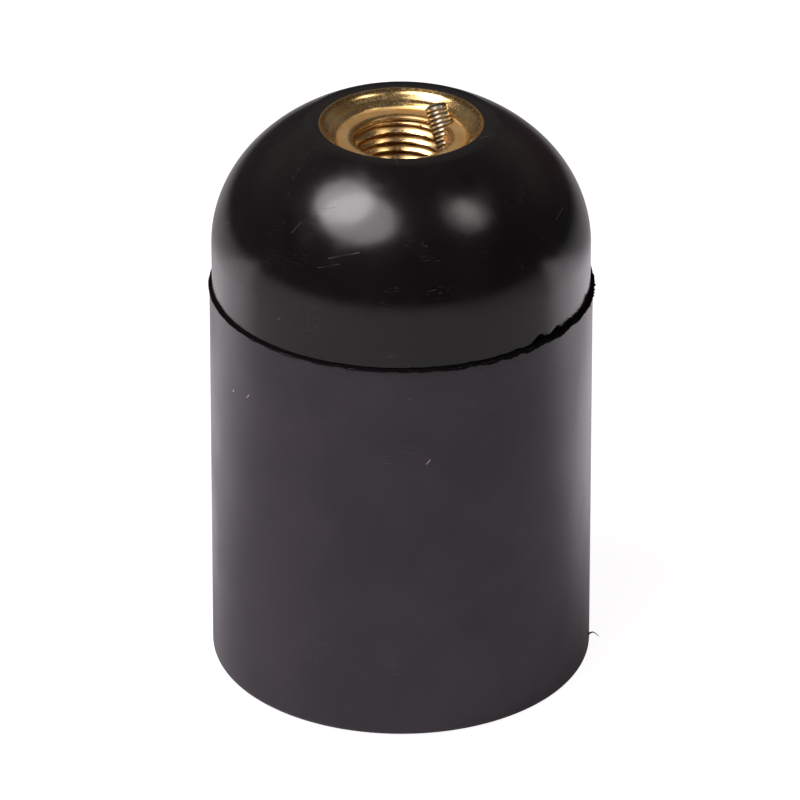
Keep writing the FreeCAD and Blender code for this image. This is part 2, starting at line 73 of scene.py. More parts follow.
# ---- sizes of the moulded parts ----
SKIRT_R = FLASH_R - 0.3 * MM
MOUTH_R = SKIRT_R - 3.1 * MM
RIM_ROUND = 0.7 * MM
SKIRT_DRAFT = 0.22 * MM
LEDGE_R = BLOCK_R - 1.0 * MM
LEDGE_FOOT_Z = LEDGE_Z - 3.5 * MM
LEDGE_SLOPE_Z = LEDGE_FOOT_Z - 4.0 * MM
BORE_R = BLOCK_R + 0.3 * MM
THREAD_ROOT_R = BORE_R + 1.3 * MM
THREAD_PITCH = 2.5 * MM
THREAD_DEPTH = 0.8 * MM
THREAD_FADE = 0.9 * MM
THREAD_ROW = 0.12 * MM
SPIGOT_LIP = 0.5 * MM
FEMALE_MAJOR_R = THREAD_ROOT_R + THREAD_DEPTH + 0.2 * MM
RELIEF_Z = SPIGOT_TOP_Z + 0.6 * MM
CAVITY_R = CAP_R - 2.85 * MM
CAVITY_TOP_Z = TOP_Z - 5.0 * MM
CAVITY_ROUND = 6.0 * MM
BOSS_R = INSERT_R + 2.2 * MM
DOME_BASE_Z = SEAM_Z + 4.5 * MM
LIP_R = INSERT_R + 1.4 * MM
DOME_H = TOP_Z - DOME_BASE_Z
DOME_SEMI_H = DOME_H / math.sqrt(1 - (LIP_R / CAP_R) ** 2)
LUG_W = 3.0 * MM
LUG_AZIMUTH = math.radians(45)
# azimuth in degrees, half width and height of each chip, and the size of its dull patch in millimetres
CHIPS = ((46, 0.85 * MM, 0.80 * MM, 0.80), (54, 0.70 * MM, 0.65 * MM, 0.68))
CHIP_DEPTH = 0.40 * MM
CHIP_PATCH_Z_MM = 42.4

# ---- sizes of the entry insert and the locking screw ----
GROOVE_R = INSERT_R - 0.7 * MM
GROOVE_TOP_Z = TOP_Z - 4.3 * MM
GROOVE_FOOT_Z = TOP_Z - 5.9 * MM
RECESS_RIM_R = 7.95 * MM
RECESS_STEP_R = 7.20 * MM
RECESS_STEP_IN_R = 7.10 * MM
RECESS_STEP_Z = TOP_Z - 0.96 * MM
RECESS_WALL_R = 6.55 * MM
RECESS_FLOOR_R = 6.42 * MM
RECESS_FLOOR_Z = TOP_Z - 1.5 * MM
CHAMFER_OUT_R = 5.45 * MM
CHAMFER_R = 5.35 * MM
CHAMFER_Z = RECESS_FLOOR_Z - 0.5 * MM
CHAMFER_W = 0.6 * MM
CHAMFER_H = 0.46 * MM
ENTRY_FOOT_R = 4.86 * MM
ENTRY_MINOR_R = 4.46 * MM
ENTRY_MAJOR_R = 4.98 * MM
ENTRY_PITCH = 1.0 * MM
LOCK_R = 1.2 * MM
LOCK_LENGTH = 6.2 * MM
LOCK_PITCH = 0.45 * MM
LOCK_THREAD = 0.13 * MM
LOCK_DOME = 0.5 * MM
LOCK_SLOT_W = 0.5 * MM
LOCK_SLOT_DEPTH = 0.55 * MM
LOCK_SLOT_TURN = math.radians(25)

# ---- sizes of the burr, the floor and the view ----
BURR_TURN = math.radians(-7)
BURR_Z = 1.9 * MM
BURR_REACH_MM = 1.15
FLOOR_HALF = 1.6
FLOOR_Z = -0.02 * MM
CAMERA_ELEVATION = math.radians(28.14)
CAMERA_DISTANCE = 32.4 * SKIRT_R
CAMERA_LENS_MM = 277
CAMERA_AIM = Vector((-0.006 * SKIRT_R, 0, 1.457 * SKIRT_R))
COOL_WHITE = (1.0, 0.95, 0.98)
WARM_WHITE = (1.0, 0.96, 0.93)


# ---- meshes of revolution with room for threads and ragged edges ----
def angles(around=AROUND):
    return np.arange(around) * 2 * np.pi / around


def ring(radius, z, around=AROUND):
    """One closed row of points; radius and z are numbers or one value per point."""
    turn = angles(around)
    row = np.empty((around, 3))
    row[:, 0] = radius * np.cos(turn)
    row[:, 1] = radius * np.sin(turn)
    row[:, 2] = z
    return row


def arc_rings(centre_r, centre_z, semi_r, semi_z, start_deg, end_deg, steps, around=AROUND):
    """Rings along a quarter round or ellipse; angles run from +R towards +Z."""
    turns = np.radians(np.linspace(start_deg, end_deg, steps + 1))
    return [ring(centre_r + semi_r * math.cos(t), centre_z + semi_z * math.sin(t), around) for t in turns]


def line_rings(*corners, step=1.5 * MM):
    """Rings along a polyline of (radius, z) corners, close enough together for smooth shading."""
    rows = []
    for (r0, z0), (r1, z1) in zip(corners, corners[1:]):
        pieces = max(1, math.ceil(math.hypot(r1 - r0, z1 - z0) / step))
        for i in range(pieces):
            share = i / pieces
            rows.append(ring(r0 + (r1 - r0) * share, z0 + (z1 - z0) * share))
    rows.append(ring(*corners[-1]))
    return rows


def piece(name, points, faces, body=None, sharp_deg=32):
    """One mesh object, smooth but for edges sharper than sharp_deg."""
    mesh = bpy.data.meshes.new(name)
    mesh.from_pydata([tuple(p) for p in points], [], faces)
    mesh.validate()
    obj = bpy.data.objects.new(name, mesh)
    bpy.context.collection.objects.link(obj)
    shade(obj, sharp_deg)
    if body:
        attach(obj, body)
    return obj


def shade(obj, sharp_deg=32):
    obj.data.shade_smooth()
    obj.data.set_sharp_from_angle(angle=math.radians(sharp_deg))


def lathe(name, rows, body=None, closed=True, sharp_deg=32):
    """Joins rows of equal length into one skin; closed joins the last row to the first."""
    around = len(rows[0])
    faces = []
    for i in range(len(rows) if closed else len(rows) - 1):
        low, high = i * around, (i + 1) % len(rows) * around
        for j in range(around):
            k = (j + 1) % around
            faces.append((low + j, low + k, high + k, high + j))
    return piece(name, np.vstack(rows), faces, body, sharp_deg)


def capped(name, rows):
    """A skin closed by a flat face at each end, on no body yet."""
    obj = lathe(name, rows, closed=False)
    around, count = len(rows[0]), len(rows)
    points = np.vstack(rows)
    faces = [tuple(p.vertices) for p in obj.data.polygons]
    faces.append(tuple(reversed(range(around))))
    faces.append(tuple(range((count - 1) * around, count * around)))
    bpy.data.objects.remove(obj)
    return piece(name, points, faces)


def fade(z, z0, z1, length):
    """1 between z0 and z1, easing to 0 over length at either end."""
    share = np.clip(np.minimum(z - z0, z1 - z) / length, 0, 1)
    return share * share * (3 - 2 * share)


def carve(obj, tool):
    """Cuts the tool's shape out of obj and removes the tool."""
    cut = obj.modifiers.new("cut", "BOOLEAN")
    cut.operation = "DIFFERENCE"
    cut.solver = "EXACT"
    cut.object = tool
    bpy.context.view_layer.update()
    graph = bpy.context.evaluated_depsgraph_get()
    mesh = bpy.data.meshes.new_from_object(obj.evaluated_get(graph))
    obj.modifiers.clear()
    obj.data = mesh
    bpy.data.objects.remove(tool)
    shade(obj)


# ---- skirt and cap with their moulded threads ----
def male_rings():
    """Rings of the thread outside the skirt's spigot, from the seam up."""
    rows = []
    for z in np.arange(SEAM_Z, SPIGOT_TOP_Z - SPIGOT_LIP, THREAD_ROW):
        phase = 2 * np.pi * z / THREAD_PITCH - angles()
        height = THREAD_DEPTH * fade(z, SEAM_Z, SPIGOT_TOP_Z - SPIGOT_LIP, THREAD_FADE)
        rows.append(ring(THREAD_ROOT_R + height * (1 + np.cos(phase)) / 2, z))
    return rows


def female_rings():
    """Rings of the thread inside the cap, from the seam up."""
    rows = []
    for z in np.arange(SEAM_Z, RELIEF_Z, THREAD_ROW):
        phase = 2 * np.pi * z / THREAD_PITCH - angles()
        height = THREAD_DEPTH * fade(z, SEAM_Z, RELIEF_Z, THREAD_FADE)
        rows.append(ring(FEMALE_MAJOR_R - height * (1 - np.cos(phase)) / 2, z))
    return rows


def build_skirt():
    foot_r = SKIRT_R + SKIRT_DRAFT
    outer_low = arc_rings(foot_r - RIM_ROUND, RIM_ROUND, RIM_ROUND, RIM_ROUND, -90, 0, 8)
    wall = line_rings((foot_r, RIM_ROUND), (SKIRT_R, SEAM_Z))
    inside = line_rings(
        (THREAD_ROOT_R - SPIGOT_LIP / 2, SPIGOT_TOP_Z - SPIGOT_LIP),
        (THREAD_ROOT_R - 1.5 * SPIGOT_LIP, SPIGOT_TOP_Z),
        (BORE_R, SPIGOT_TOP_Z),
        (BORE_R, LEDGE_Z),
        (LEDGE_R, LEDGE_Z),
        (LEDGE_R, LEDGE_FOOT_Z),
        (MOUTH_R, LEDGE_SLOPE_Z),
        (MOUTH_R, RIM_ROUND),
    )
    inner_low = arc_rings(MOUTH_R + RIM_ROUND, RIM_ROUND, RIM_ROUND, RIM_ROUND, 180, 270, 8)
    rows = outer_low + wall[1:] + male_rings() + inside + inner_low[1:]
    skirt = lathe("skirt_shell", rows, "skirt")
    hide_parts("skirt")


def chipped(rows):
    """The cap's wall with two small triangular chips broken out of its lower edge."""
    for row in rows:
        rise = row[0, 2] - SEAM_Z
        for azimuth_deg, half_width, height, _ in CHIPS:
            aside = np.abs((angles() - math.radians(azimuth_deg - 90) + np.pi) % (2 * np.pi) - np.pi) * CAP_R
            depth = CHIP_DEPTH * np.clip(1.3 - aside / half_width - rise / height, 0, 1)
            row[:, :2] *= (1 - depth / CAP_R)[:, None]
    return rows


def build_cap():
    edge = 0.15 * MM
    corners = (CAP_R - edge, SEAM_Z), (CAP_R, SEAM_Z + edge), (CAP_R, DOME_BASE_Z)
    wall = chipped(line_rings(*corners, step=0.25 * MM))
    top_deg = math.degrees(math.acos(LIP_R / CAP_R))
    dome = arc_rings(0, DOME_BASE_Z, CAP_R, DOME_SEMI_H, 0, top_deg, 64)
    seat = line_rings(
        (LIP_R, TOP_Z),
        (INSERT_R, TOP_Z),
        (INSERT_R, GROOVE_TOP_Z),
        (GROOVE_R, GROOVE_TOP_Z),
        (GROOVE_R, GROOVE_FOOT_Z),
        (INSERT_R, GROOVE_FOOT_Z),
        (INSERT_R, INSERT_FOOT_Z),
        (BOSS_R, INSERT_FOOT_Z),
        (BOSS_R, CAVITY_TOP_Z),
        (CAVITY_R - CAVITY_ROUND, CAVITY_TOP_Z),
    )
    round_r, round_z = CAVITY_R - CAVITY_ROUND, CAVITY_TOP_Z - CAVITY_ROUND
    ceiling = arc_rings(round_r, round_z, CAVITY_ROUND, CAVITY_ROUND, 90, 0, 12)
    thread = list(reversed(female_rings()))
    rows = wall[:-1] + dome + seat[1:-1] + ceiling + [ring(CAVITY_R, RELIEF_Z)] + thread
    cap = lathe("domed_cap", rows, "cap")
    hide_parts("dome_cap")


def build_lugs():
    """The cap's two driving lugs, down from the ceiling into the block's notches."""
    in_r, out_r = BLOCK_R - 2.2 * MM, BLOCK_R - 0.2 * MM
    low, high = BLOCK_TOP_Z - 1.35 * MM, CAVITY_TOP_Z - 0.5 * MM
    box_faces = (0, 3, 2, 1), (4, 5, 6, 7), (0, 1, 5, 4), (1, 2, 6, 5), (2, 3, 7, 6), (3, 0, 4, 7)
    points, faces = [], []
    for side in (0, math.pi):
        start = len(points)
        for z in (low, high):
            for r, offset in ((in_r, -1), (out_r, -1), (out_r, 1), (in_r, 1)):
                turn = Matrix.Rotation(side + LUG_AZIMUTH, 3, "Z")
                points.append(turn @ Vector((math.sqrt(r * r - (LUG_W / 2) ** 2), offset * LUG_W / 2, z)))
        faces += [tuple(start + corner for corner in face) for face in box_faces]
    lugs = piece("driving_lugs", points, faces, "cap")


# ---- entry insert and locking screw ----
def lock_frame():
    """Axis of the locking screw, pointing out, and the middle of its outer end."""
    joint = next(j for j in frame["joints"] if j["name"] == "lock_screw_travel")
    axis = Vector(joint["axis"]).normalized()
    low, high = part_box("locking_screw")
    half_z = LOCK_LENGTH / 2 * axis.z + LOCK_R * math.sqrt(1 - axis.z ** 2)
    middle = (low + high) / 2
    middle.z = low.z + half_z
    return axis, middle + axis * LOCK_LENGTH / 2


def thread_rings(minor_r, major_r, pitch, z0, z1, around, rounded=False):
    """Rings of a thread from z0 to z1, either way up; it fades out at both ends."""
    steps = 14
    rows = []
    low, high = min(z0, z1), max(z0, z1)
    for z in np.linspace(z0, z1, max(2, int(abs(z1 - z0) / pitch * steps))):
        phase = (z / pitch - np.arange(around) / around) % 1.0
        if rounded:
            tooth = (1 + np.cos(2 * np.pi * phase)) / 2
        else:
            tooth = np.clip(np.abs(phase - 0.5) * 2.25 - 0.06, 0, 1)
        height = (major_r - minor_r) * fade(z, low - 0.01 * MM, high + 0.01 * MM, 0.5 * pitch)
        rows.append(ring(major_r - height * (1 - tooth), z, around))
    return rows


def build_insert():
    recess = line_rings(
        (INSERT_R, TOP_Z),
        (INSERT_R - 0.12 * MM, TOP_Z - 0.02 * MM),
        (RECESS_RIM_R, TOP_Z - 0.42 * MM),
        (RECESS_STEP_R, RECESS_STEP_Z),
        (RECESS_STEP_IN_R, RECESS_STEP_Z - 0.02 * MM),
        (RECESS_WALL_R, RECESS_FLOOR_Z + 0.16 * MM),
        (RECESS_FLOOR_R, RECESS_FLOOR_Z),
        (CHAMFER_OUT_R, RECESS_FLOOR_Z - 0.04 * MM),
        step=0.25 * MM,
    )
    chamfer = arc_rings(CHAMFER_R, CHAMFER_Z, CHAMFER_W, CHAMFER_H, 90, 180, 8)
    thread_top, thread_foot = RECESS_FLOOR_Z - 0.55 * MM, INSERT_FOOT_Z + 0.4 * MM
    thread = thread_rings(ENTRY_MINOR_R, ENTRY_MAJOR_R, ENTRY_PITCH, thread_top, thread_foot, AROUND)
    outside = line_rings(
        (ENTRY_FOOT_R, INSERT_FOOT_Z),
        (INSERT_R, INSERT_FOOT_Z),
        (INSERT_R, GROOVE_FOOT_Z),
        (GROOVE_R, GROOVE_FOOT_Z),
        (GROOVE_R, GROOVE_TOP_Z),
        (INSERT_R, GROOVE_TOP_Z),
        (INSERT_R, TOP_Z),
    )
    insert = lathe("brass_entry", recess + chamfer + thread + outside[:-1])
    axis, top = lock_frame()
    tap_minor, tap_major = LOCK_R - 0.02 * MM, LOCK_R + 0.1 * MM
    tap_foot, tap_top = -LOCK_LENGTH - 0.8 * MM, 3 * MM
    tool = capped("tap", thread_rings(tap_minor, tap_major, LOCK_PITCH, tap_foot, tap_top, 48))
    place_on_axis(tool, axis, top)
    carve(insert, tool)
    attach(insert, "cap")
    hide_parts("entry_insert")


def place_on_axis(obj, axis, origin):
    """Turns a mesh that was made along Z to lie along axis, with its height 0 at origin."""
    turn = Vector((0, 0, 1)).rotation_difference(axis).to_matrix().to_4x4()
    obj.data.transform(Matrix.Translation(origin) @ turn)
    obj.data.update()


def build_lock_screw():
    axis, top = lock_frame()
    around = 96
    foot, thread_end = -LOCK_LENGTH, -LOCK_DOME - 0.12 * MM
    rows = [ring(LOCK_R - 0.45 * MM, foot, around), ring(LOCK_R - 0.2 * MM, foot + 0.25 * MM, around)]
    rows += thread_rings(LOCK_R - LOCK_THREAD, LOCK_R, LOCK_PITCH, foot + 0.3 * MM, thread_end, around, True)
    rows += arc_rings(0, -LOCK_DOME, LOCK_R - 0.04 * MM, LOCK_DOME, 0, 82, 14, around)
    screw = capped("grub_screw", rows)
    slot_low = Vector((-2 * LOCK_R, -LOCK_SLOT_W / 2, -LOCK_SLOT_DEPTH))
    slot_high = Vector((2 * LOCK_R, LOCK_SLOT_W / 2, 1 * MM))
    slot = box_piece("slot", slot_low, slot_high)
    slot.data.transform(Matrix.Rotation(LOCK_SLOT_TURN, 4, "Z"))
    carve(screw, slot)
    place_on_axis(screw, axis, top)
    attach(screw, "lock_screw")
    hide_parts("locking_screw")


def box_piece(name, low, high):
    points = [(x, y, z) for x in (low.x, high.x) for y in (low.y, high.y) for z in (low.z, high.z)]
    faces = [(0, 1, 3, 2), (4, 6, 7, 5), (0, 4, 5, 1), (2, 3, 7, 6), (0, 2, 6, 4), (1, 5, 7, 3)]
    return piece(name, points, faces)


# ---- raw moulding marks ----
def band_noise(turn, scale, seed):
    """Noise that closes on itself round the axis; scale is a length along the seam."""
    around = [Vector((math.cos(t), math.sin(t), 0)) * SKIRT_R / scale + Vector((seed, 0, seed)) for t in turn]
    return np.array([noise.noise(p) for p in around])


def roughness_round(turn):
    """How raw the flash is round the seam: smooth at the left, heaviest at the right."""
    right = np.maximum(0, np.cos(turn + math.radians(28))) ** 3
    left = np.maximum(0, np.cos(turn - math.radians(205))) ** 2
    return 0.70 + 0.8 * right - 0.40 * left


def build_flash():
    """Ragged fin of squeezed-out plastic that stands out of the seam, on the skirt's top edge.

    The lengths multiplied by MM are the fin's reach, its middle's height and half its thickness.
    """
    around = 1440
    turn = angles(around)
    raw = roughness_round(turn)
    waves = band_noise(turn, 2.6 * MM, 3) * 0.7 + band_noise(turn, 0.9 * MM, 8) * 0.4
    crumbs = np.maximum(0, band_noise(turn, 0.35 * MM, 5)) ** 2
    torn = np.round(band_noise(turn, 1.5 * MM, 21) * 3) / 3
    stepped = 1 + 1.6 * np.maximum(0, np.cos(turn + math.radians(130))) ** 6
    out = (0.08 + 0.11 * raw * (1 + waves) + 0.30 * raw * crumbs) * MM
    middle = SEAM_Z + (-0.14 + 0.17 * waves * raw + 0.17 * torn * raw * stepped) * MM
    half = (0.01 + 0.115 * raw * (1 + 0.8 * band_noise(turn, 0.7 * MM, 12))) * MM
    upper_edge = middle + half * (1 + 0.9 * raw * np.maximum(0, band_noise(turn, 0.45 * MM, 31)))
    lower_edge = middle - half * (1 + 0.9 * raw * np.maximum(0, band_noise(turn, 0.5 * MM, 37)))
    rows = [
        ring(SKIRT_R - 0.5 * MM, SEAM_Z - 0.01 * MM, around),
        ring(SKIRT_R + 0.01 * MM, lower_edge, around),
        ring(SKIRT_R + out * 0.9, middle - half * 0.5, around),
        ring(SKIRT_R + out, middle + half * 0.25, around),
        ring(SKIRT_R + out * 0.5, middle + half * 0.8, around),
        ring(CAP_R + 0.03 * MM, np.maximum(upper_edge, SEAM_Z + 0.04 * MM), around),
        ring(CAP_R - 0.3 * MM, SEAM_Z + 0.03 * MM, around),
    ]
    flash = lathe("seam_flash", rows, "skirt", sharp_deg=60)


def build_burr():
    """Fine curl of flash left standing on the skirt, low on its right side."""
    out = Vector((math.cos(BURR_TURN), math.sin(BURR_TURN), 0))
    side = Vector((-math.sin(BURR_TURN), math.cos(BURR_TURN), 0))
    foot = out * (SKIRT_R + SKIRT_DRAFT - 0.05 * MM) + Vector((0, 0, BURR_Z))
    path = []
    for share in np.linspace(0, 1, 15):
        reach = out * share * BURR_REACH_MM * MM + side * math.sin(share * 2.4) * 0.25 * MM
        path.append(foot + reach + Vector((0, 0, (0.22 * math.sin(share * 4.2) - 0.05 * share) * MM)))
    sides = 8
    points, faces = [], []
    for i, centre in enumerate(path):
        ahead = (path[min(i + 1, len(path) - 1)] - path[max(i - 1, 0)]).normalized()
        across = ahead.cross(Vector((0, 0, 1))).normalized()
        upward = across.cross(ahead)
        radius = (0.085 - 0.065 * i / (len(path) - 1)) * MM
        for j in range(sides):
            a = 2 * math.pi * j / sides
            points.append(centre + (across * math.cos(a) * 1.5 + upward * math.sin(a)) * radius)
    for i in range(len(path) - 1):
        for j in range(sides):
            k = (j + 1) % sides
            faces.append((i * sides + j, i * sides + k, (i + 1) * sides + k, (i + 1) * sides + j))
    faces.append(tuple(reversed(range(sides))))
    faces.append(tuple(range((len(path) - 1) * sides, len(path) * sides)))
    burr = piece("moulding_burr", points, faces, "skirt", sharp_deg=70)


# ---- shader helpers ----
def new_material(name):
    material = bpy.data.materials.new(name)
    material.use_nodes = True
    tree = material.node_tree
    return material, tree, tree.nodes["Principled BSDF"]


def add(tree, kind, inputs=None, **settings):
    """A node with its settings; inputs may be values or other nodes' sockets."""
    made = tree.nodes.new(kind)
    for name, value in settings.items():
        setattr(made, name, value)
    for name, value in (inputs or {}).items():
        if isinstance(value, bpy.types.NodeSocket):
            tree.links.new(value, made.inputs[name])
        else:
            made.inputs[name].default_value = value
    return made


def millimetres(tree):
    """The point's place in the piece, in millimetres."""
    place = add(tree, "ShaderNodeTexCoord").outputs["Object"]
    return scaled(tree, place, 1000.0)


def stretched(tree, place, turn_deg, size):
    return add(tree, "ShaderNodeMapping", {"Vector": place, "Rotation": [math.radians(a) for a in turn_deg],
               "Scale": size}).outputs[0]


def noise_of(tree, place, scale, detail=3.0, roughness=0.55):
    return add(tree, "ShaderNodeTexNoise", {"Vector": place, "Scale": scale, "Detail": detail,
               "Roughness": roughness}).outputs["Fac"]


def ramp(tree, value, low, high, out_low=0.0, out_high=1.0, smooth=True):
    """Carries value from low..high over to out_low..out_high, and holds it there beyond either end."""
    kind = "SMOOTHSTEP" if smooth else "LINEAR"
    span = {"Value": value, "From Min": low, "From Max": high, "To Min": out_low, "To Max": out_high}
    return add(tree, "ShaderNodeMapRange", span, interpolation_type=kind).outputs[0]


def maths(tree, operation, a, b=0.0):
    """One operation on one or two numbers."""
    return add(tree, "ShaderNodeMath", {0: a, 1: b}, operation=operation).outputs[0]


def vectors(tree, operation, a, b):
    """A sum, difference or product of two vectors."""
    return add(tree, "ShaderNodeVectorMath", {0: a, 1: b}, operation=operation).outputs[0]


def apart(tree, a, b):
    """Distance between two places."""
    return add(tree, "ShaderNodeVectorMath", {0: a, 1: b}, operation="DISTANCE").outputs["Value"]


def dot_product(tree, a, b):
    return add(tree, "ShaderNodeVectorMath", {0: a, 1: b}, operation="DOT_PRODUCT").outputs["Value"]


def scaled(tree, vector, size):
    return add(tree, "ShaderNodeVectorMath", {0: vector, "Scale": size}, operation="SCALE").outputs[0]


def mixed(tree, share, a, b):
    """Colour a, turning into b as share goes from 0 to 1."""
    return add(tree, "ShaderNodeMix", {"Factor": share, 6: a, 7: b}, data_type="RGBA").outputs[2]


def colour(*rgb):
    return (*rgb, 1.0)


def bump(tree, shader, *layers):
    """Chains bumps of (height, strength, distance in metres) into the shader's normal."""
    normal = None
    for height, strength, distance in layers:
        inputs = {"Height": height, "Strength": strength, "Distance": distance}
        if normal is not None:
            inputs["Normal"] = normal
        normal = add(tree, "ShaderNodeBump", inputs).outputs[0]
    tree.links.new(normal, shader.inputs["Normal"])


def scratches(tree, place, turn_deg, density, width, seed_shift):
    """Thin long marks: the zero line of stretched noise, kept only in scattered patches."""
    shifted = vectors(tree, "ADD", place, seed_shift)
    along = stretched(tree, shifted, turn_deg, (0.35, 5.0, 5.0))
    line = maths(tree, "ABSOLUTE", maths(tree, "SUBTRACT", noise_of(tree, along, 0.5, 1.0), 0.5))
    thin = ramp(tree, line, 0.0, width, 1.0, 0.0)
    patch = ramp(tree, noise_of(tree, shifted, 0.22, 2.0), density, density + 0.08)
    return maths(tree, "MULTIPLY", thin, patch)


def specks(tree, place, spacing, size, share, seed_shift):
    """Scattered dots about size across, in a share of the cells that are spacing apart."""
    shifted = vectors(tree, "ADD", place, seed_shift)
    cells = add(tree, "ShaderNodeTexVoronoi", {"Vector": shifted, "Scale": 1 / spacing, "Randomness": 1.0})
    dot = ramp(tree, cells.outputs["Distance"], size / spacing * 0.35, size / spacing * 0.6, 1.0, 0.0)
    pick = add(tree, "ShaderNodeSeparateColor", {"Color": cells.outputs["Color"]}).outputs[0]
    return maths(tree, "MULTIPLY", dot, maths(tree, "LESS_THAN", pick, share))


def spot(tree, place, centre, size):
    """One soft round mark at a place on the piece; lengths in millimetres."""
    return ramp(tree, apart(tree, place, centre), size * 0.55, size, 1.0, 0.0)


def stroke(tree, place, start, end, width):
    """One straight scratch between two places on the piece; lengths in millimetres."""
    start, run = Vector(start), Vector(end) - Vector(start)
    from_start = vectors(tree, "SUBTRACT", place, start)
    along = dot_product(tree, from_start, run / run.length_squared)
    share = add(tree, "ShaderNodeMath", {0: along, 1: 0.0}, operation="ADD", use_clamp=True).outputs[0]
    nearest = scaled(tree, run, share)
    return ramp(tree, apart(tree, from_start, nearest), width * 0.35, width, 1.0, 0.0)


def strongest(tree, *masks):
    """The highest of some masks."""
    result = masks[0]
    for mask in masks[1:]:
        result = maths(tree, "MAXIMUM", result, mask)
    return result


def from_axis(tree, place):
    """Distance from the Z axis, in millimetres."""
    flat = vectors(tree, "MULTIPLY", place, (1, 1, 0))
    return add(tree, "ShaderNodeVectorMath", {0: flat}, operation="LENGTH").outputs["Value"]


def height_of(tree, place):
    return add(tree, "ShaderNodeSeparateXYZ", {0: place}).outputs[2]


def on_cap(azimuth_deg, z):
    """A place on the domed cap in millimetres; azimuth 0 faces the camera and grows to its right."""
    turn = math.radians(azimuth_deg - 90)
    rise = max(0.0, z * MM - DOME_BASE_Z) / DOME_SEMI_H
    r = CAP_R / MM * math.sqrt(max(0.0, 1 - rise * rise))
    return Vector((r * math.cos(turn), r * math.sin(turn), z))


def on_skirt(azimuth_deg, z):
    """A place on the skirt's wall in millimetres; azimuth as in on_cap."""
    turn = math.radians(azimuth_deg - 90)
    r = (SKIRT_R + SKIRT_DRAFT * (1 - z * MM / SEAM_Z)) / MM
    return Vector((r * math.cos(turn), r * math.sin(turn), z))


# ---- moulded plastic ----
def plastic_tone(tree, place, low, high, dust, marks):
    """Colour that clouds between low and high, greyed along marks and buff where there is dust."""
    tone = mixed(tree, ramp(tree, noise_of(tree, place, 0.11, 3), 0.35, 0.65), colour(*low), colour(*high))
    tone = mixed(tree, maths(tree, "MULTIPLY", marks, 0.55), tone, colour(0.16, 0.14, 0.15))
    return mixed(tree, dust, tone, colour(0.55, 0.47, 0.36))


def cap_material():
    material, tree, shader = new_material("cap_bakelite")
    place = millimetres(tree)
    drags = scratches(tree, place, (0, 35, 20), 0.56, 0.010, (3, 9, 1))
    fine = scratches(tree, place, (20, -50, 70), 0.60, 0.008, (41, 5, 7))
    placed = strongest(
        tree,
        stroke(tree, place, on_cap(-34, 56.4), on_cap(-27, 56.9), 0.07),
        stroke(tree, place, on_cap(-38, 55.2), on_cap(-40, 54.1), 0.06),
        stroke(tree, place, on_cap(62, 53.2), on_cap(69, 53.5), 0.07),
        stroke(tree, place, on_cap(-24, 52.9), on_cap(-14, 53.8), 0.09),
        stroke(tree, place, on_cap(-27, 51.9), on_cap(-20, 52.6), 0.05),
    )
    pits = strongest(
        tree,
        spot(tree, place, on_cap(-13, 54.3), 0.28),
        stroke(tree, place, on_cap(-9, 52.0), on_cap(-7.5, 52.9), 0.10),
        spot(tree, place, on_cap(8, 52.4), 0.16),
        spot(tree, place, on_cap(15, 55.1), 0.13),
    )
    patches = []
    for azimuth_deg, _, _, size in CHIPS:
        patches.append(spot(tree, place, on_cap(azimuth_deg, CHIP_PATCH_Z_MM), size))
    chips = strongest(tree, *patches)
    dust = strongest(
        tree,
        specks(tree, place, 1.3, 0.10, 0.035, (7, 7, 2)),
        maths(tree, "MULTIPLY", specks(tree, place, 0.55, 0.07, 0.16, (1, 4, 6)),
              ramp(tree, height_of(tree, place), 59.2, 59.9)),
    )
    scuffs = maths(tree, "MULTIPLY", maths(tree, "ADD", drags, fine), 0.5)
    marks = strongest(tree, scuffs, maths(tree, "MULTIPLY", placed, 0.5))
    tone = plastic_tone(tree, place, (0.0048, 0.0042, 0.0044), (0.0085, 0.0066, 0.0066), dust, marks)
    maroon = ramp(tree, apart(tree, place, on_cap(100, 55.0)), 3.0, 9.0, 1.0, 0.0)
    tone = mixed(tree, maths(tree, "MULTIPLY", maroon, 0.8), tone, colour(0.020, 0.007, 0.006))
    tone = mixed(tree, chips, tone, colour(0.002, 0.002, 0.002))
    tree.links.new(tone, shader.inputs["Base Color"])
    wiped = stretched(tree, place, (0, 20, 30), (0.30, 0.30, 0.12))
    smudge = ramp(tree, noise_of(tree, wiped, 1.0, 4), 0.42, 0.70)
    rough = ramp(tree, smudge, 0, 1, 0.175, 0.245, smooth=False)
    rough = maths(tree, "ADD", rough, maths(tree, "MULTIPLY", marks, 0.22))
    rough = maths(tree, "ADD", rough, maths(tree, "MULTIPLY", dust, 0.4))
    rough = maths(tree, "ADD", rough, maths(tree, "MULTIPLY", chips, 0.45))
    tree.links.new(rough, shader.inputs["Roughness"])
    tree.links.new(ramp(tree, chips, 0.0, 0.6, 0.5, 0.03), shader.inputs["Specular IOR Level"])
    shader.inputs["IOR"].default_value = 1.50
    wavy = noise_of(tree, place, 0.28, 2)
    peel = noise_of(tree, place, 2.6, 3)
    bump(tree, shader, (wavy, 0.30, 0.06 * MM), (peel, 0.30, 0.004 * MM), (marks, -0.5, 0.012 * MM),
         (pits, -1.0, 0.06 * MM), (chips, -1.0, 0.18 * MM), (dust, 1.0, 0.03 * MM))
    return material


